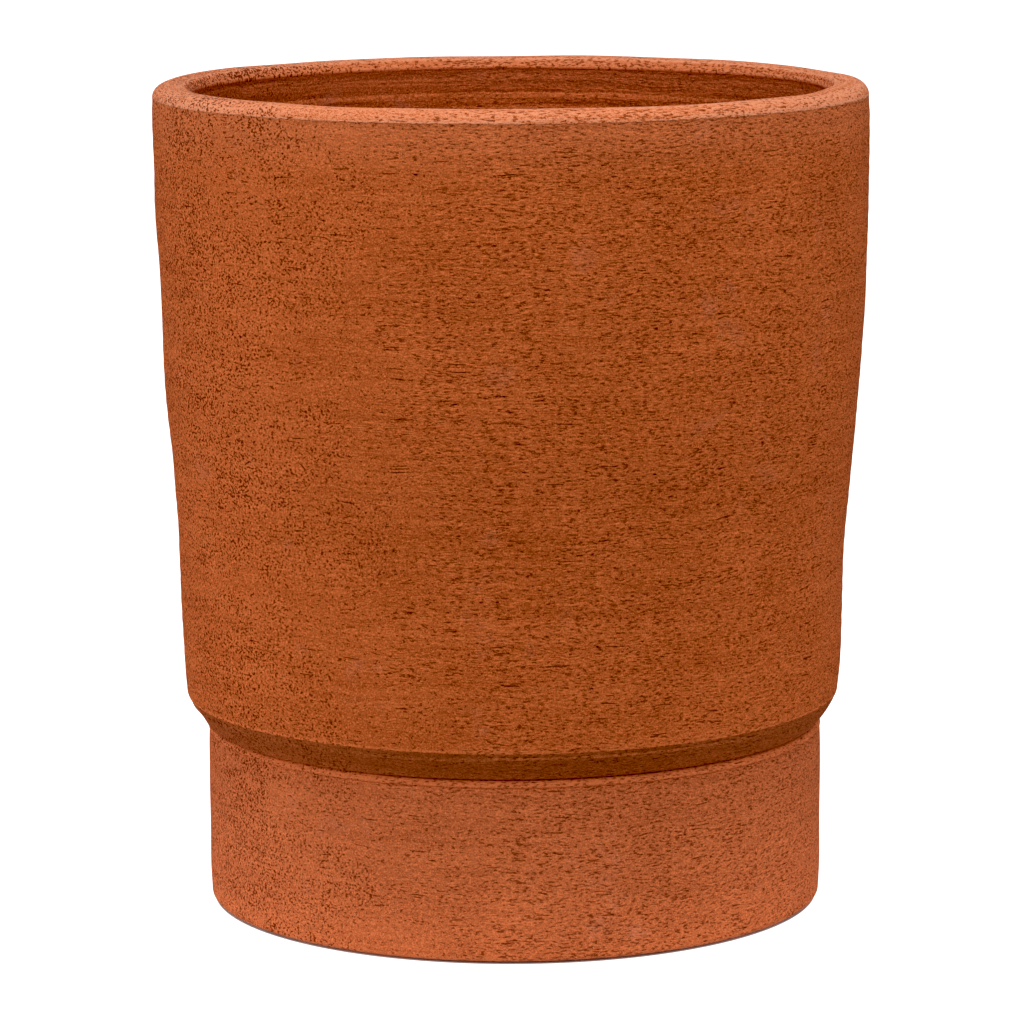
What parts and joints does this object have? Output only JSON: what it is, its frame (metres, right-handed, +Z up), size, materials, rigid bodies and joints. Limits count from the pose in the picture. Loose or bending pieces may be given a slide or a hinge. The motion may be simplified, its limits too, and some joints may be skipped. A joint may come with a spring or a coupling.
{
  "type": "terracotta pot",
  "caption": "Large round raw terracotta plant pot with a rounded rim and a stepped-in skirt that stands in a deep cylindrical saucer of the same clay; it lifts out.",
  "frame": {"origin": "on the ground, at the middle of the saucer's underside", "axes": "+Z up along the pot's and the saucer's common axis"},
  "size_m": [0.35, 0.35, 0.403],
  "materials": {
    "pot_clay": "matte",
    "saucer_clay": "matte"
  },
  "bodies": {
    "saucer": {"saucer": "saucer_clay"},
    "pot": {"pot": "pot_clay"}
  },
  "joints": [
    {"name": "pot_lift", "type": "slide", "parent": "saucer", "child": "pot", "axis": [0, 0, 1], "range_m": [0, 0.1]}
  ]
}
